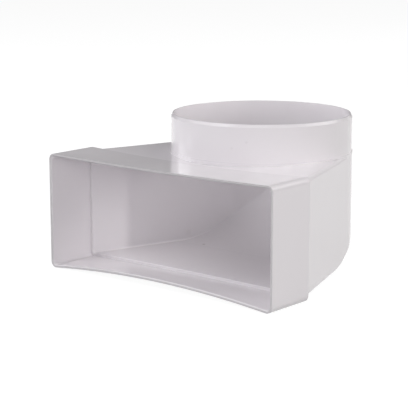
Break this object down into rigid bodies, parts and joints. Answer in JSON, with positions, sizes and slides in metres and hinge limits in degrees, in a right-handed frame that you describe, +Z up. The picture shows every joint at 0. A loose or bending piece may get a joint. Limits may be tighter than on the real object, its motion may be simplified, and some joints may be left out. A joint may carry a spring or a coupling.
{
  "type": "duct transition elbow",
  "caption": "Moulded plastic ventilation elbow that turns air from a flat rectangular duct socket up into a round spigot, with a tapering hollow body and a rounded heel.",
  "frame": {"origin": "centre of the underside of the bounding box", "axes": "+X across the flat socket, -Y out of the socket's mouth, +Z up the round spigot"},
  "size_m": [0.225, 0.2102, 0.1237],
  "materials": {
    "white_plastic": "smooth, glossy, cool off-white moulded plastic"
  },
  "bodies": {
    "root": {"elbow_body": "white_plastic"}
  },
  "joints": []
}
